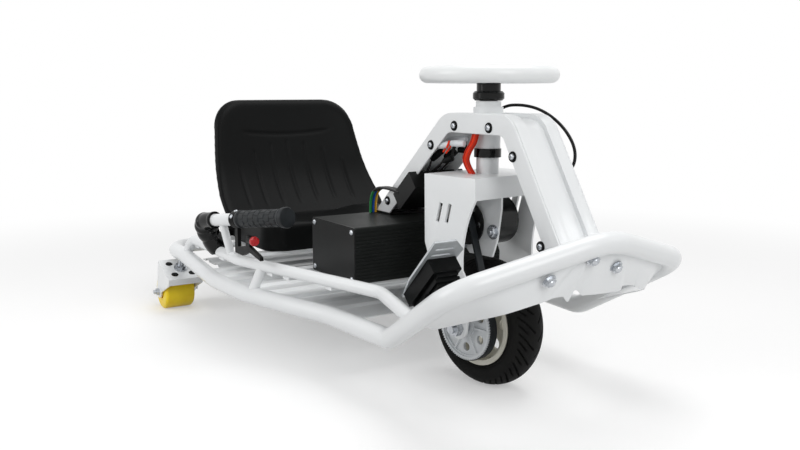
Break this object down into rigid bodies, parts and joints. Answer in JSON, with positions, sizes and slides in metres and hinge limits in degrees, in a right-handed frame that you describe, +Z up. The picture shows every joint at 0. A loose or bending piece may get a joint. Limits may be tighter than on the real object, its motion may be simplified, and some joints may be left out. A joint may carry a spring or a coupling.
{
  "type": "electric drift kart",
  "caption": "Low three-wheeled electric drift kart: tubular frame, bucket seat, upright steering wheel, a driven steered wheel in front and tilted roller casters behind.",
  "frame": {"origin": "middle of the kart on the ground: halfway along, on the centre line, at floor level", "axes": "+X forward to the nose, +Y to the driver's left, +Z up"},
  "size_m": [1.3118, 0.787, 0.6234],
  "materials": {
    "white_paint": "gloss white powder coat",
    "black_paint": "satin black",
    "black_plastic": "matt black moulded plastic",
    "black_rubber": "matt black rubber",
    "tyre_rubber": "matt black tread",
    "zinc": "bright zinc plate",
    "motor_black": "satin black motor can",
    "roller_yellow": "satin yellow urethane",
    "pulley_white": "light grey moulded nylon",
    "rim_cream": "cream painted rim",
    "aluminium": "brushed aluminium plate",
    "wheel_white": "gloss white, dipped",
    "cable_black": "black cable sheath",
    "lead_orange": "orange silicone lead"
  },
  "bodies": {
    "chassis": {"frame_side_left": "white_paint", "frame_side_right": "white_paint", "rear_bar": "white_paint", "front_hoop": "white_paint", "side_rails": "white_paint", "rail_struts": "white_paint", "cross_bars": "white_paint", "floor_pan": "white_paint", "tower_sides": "white_paint", "tower_skin": "white_paint", "tower_nose_plate": "white_paint", "tower_bracket": "black_paint", "head_tube": "white_paint", "nose_pan": "white_paint", "battery_case": "black_paint", "battery_ends": "black_paint", "seat_shell": "black_plastic", "swivel_bolts": "zinc", "lever_tube": "white_paint", "lever_grip": "black_rubber", "lever_elbow": "black_rubber", "lever_bracket": "black_plastic", "pedal_plate": "aluminium", "pedal_body": "black_plastic", "controller_box": "black_paint", "battery_leads": "cable_black", "head_cable": "cable_black"},
    "steering": {"steering_wheel": "wheel_white", "steering_column": "white_paint", "column_collars": "black_paint", "fork": "white_paint", "motor_plate": "white_paint", "motor": "motor_black", "motor_pulley": "black_paint", "drive_belt": "black_rubber", "axle": "zinc", "motor_leads": "lead_orange"},
    "drive_wheel": {"tyre": "tyre_rubber", "wheel_rim": "rim_cream", "wheel_pulley": "pulley_white"},
    "caster_right": {"caster_yoke_right": "white_paint", "caster_axle_right": "zinc"},
    "caster_left": {"caster_yoke_left": "white_paint", "caster_axle_left": "zinc"},
    "roller_right": {"caster_roller_right": "roller_yellow"},
    "roller_left": {"caster_roller_left": "roller_yellow"}
  },
  "joints": [
    {"name": "steer", "type": "hinge", "parent": "chassis", "child": "steering", "pos_m": [0.3125, 0, 0.5], "axis": [0, 0, 1], "range_deg": [-178.4, 161.6]},
    {"name": "drive_wheel_spin", "type": "hinge", "parent": "steering", "child": "drive_wheel", "pos_m": [0.3125, 0, 0.1275], "axis": [-0.1461, 0.9893, 0], "continuous": true},
    {"name": "caster_swivel_right", "type": "hinge", "parent": "chassis", "child": "caster_right", "pos_m": [-0.5625, -0.334, 0.114], "axis": [0.3746, 0, 0.9272], "continuous": true},
    {"name": "roller_spin_right", "type": "hinge", "parent": "caster_right", "child": "roller_right", "pos_m": [-0.6125, -0.334, 0.047], "axis": [0, 1, 0], "continuous": true},
    {"name": "caster_swivel_left", "type": "hinge", "parent": "chassis", "child": "caster_left", "pos_m": [-0.5625, 0.334, 0.114], "axis": [0.3746, 0, 0.9272], "continuous": true},
    {"name": "roller_spin_left", "type": "hinge", "parent": "caster_left", "child": "roller_left", "pos_m": [-0.6125, 0.334, 0.047], "axis": [0, 1, 0], "continuous": true}
  ]
}
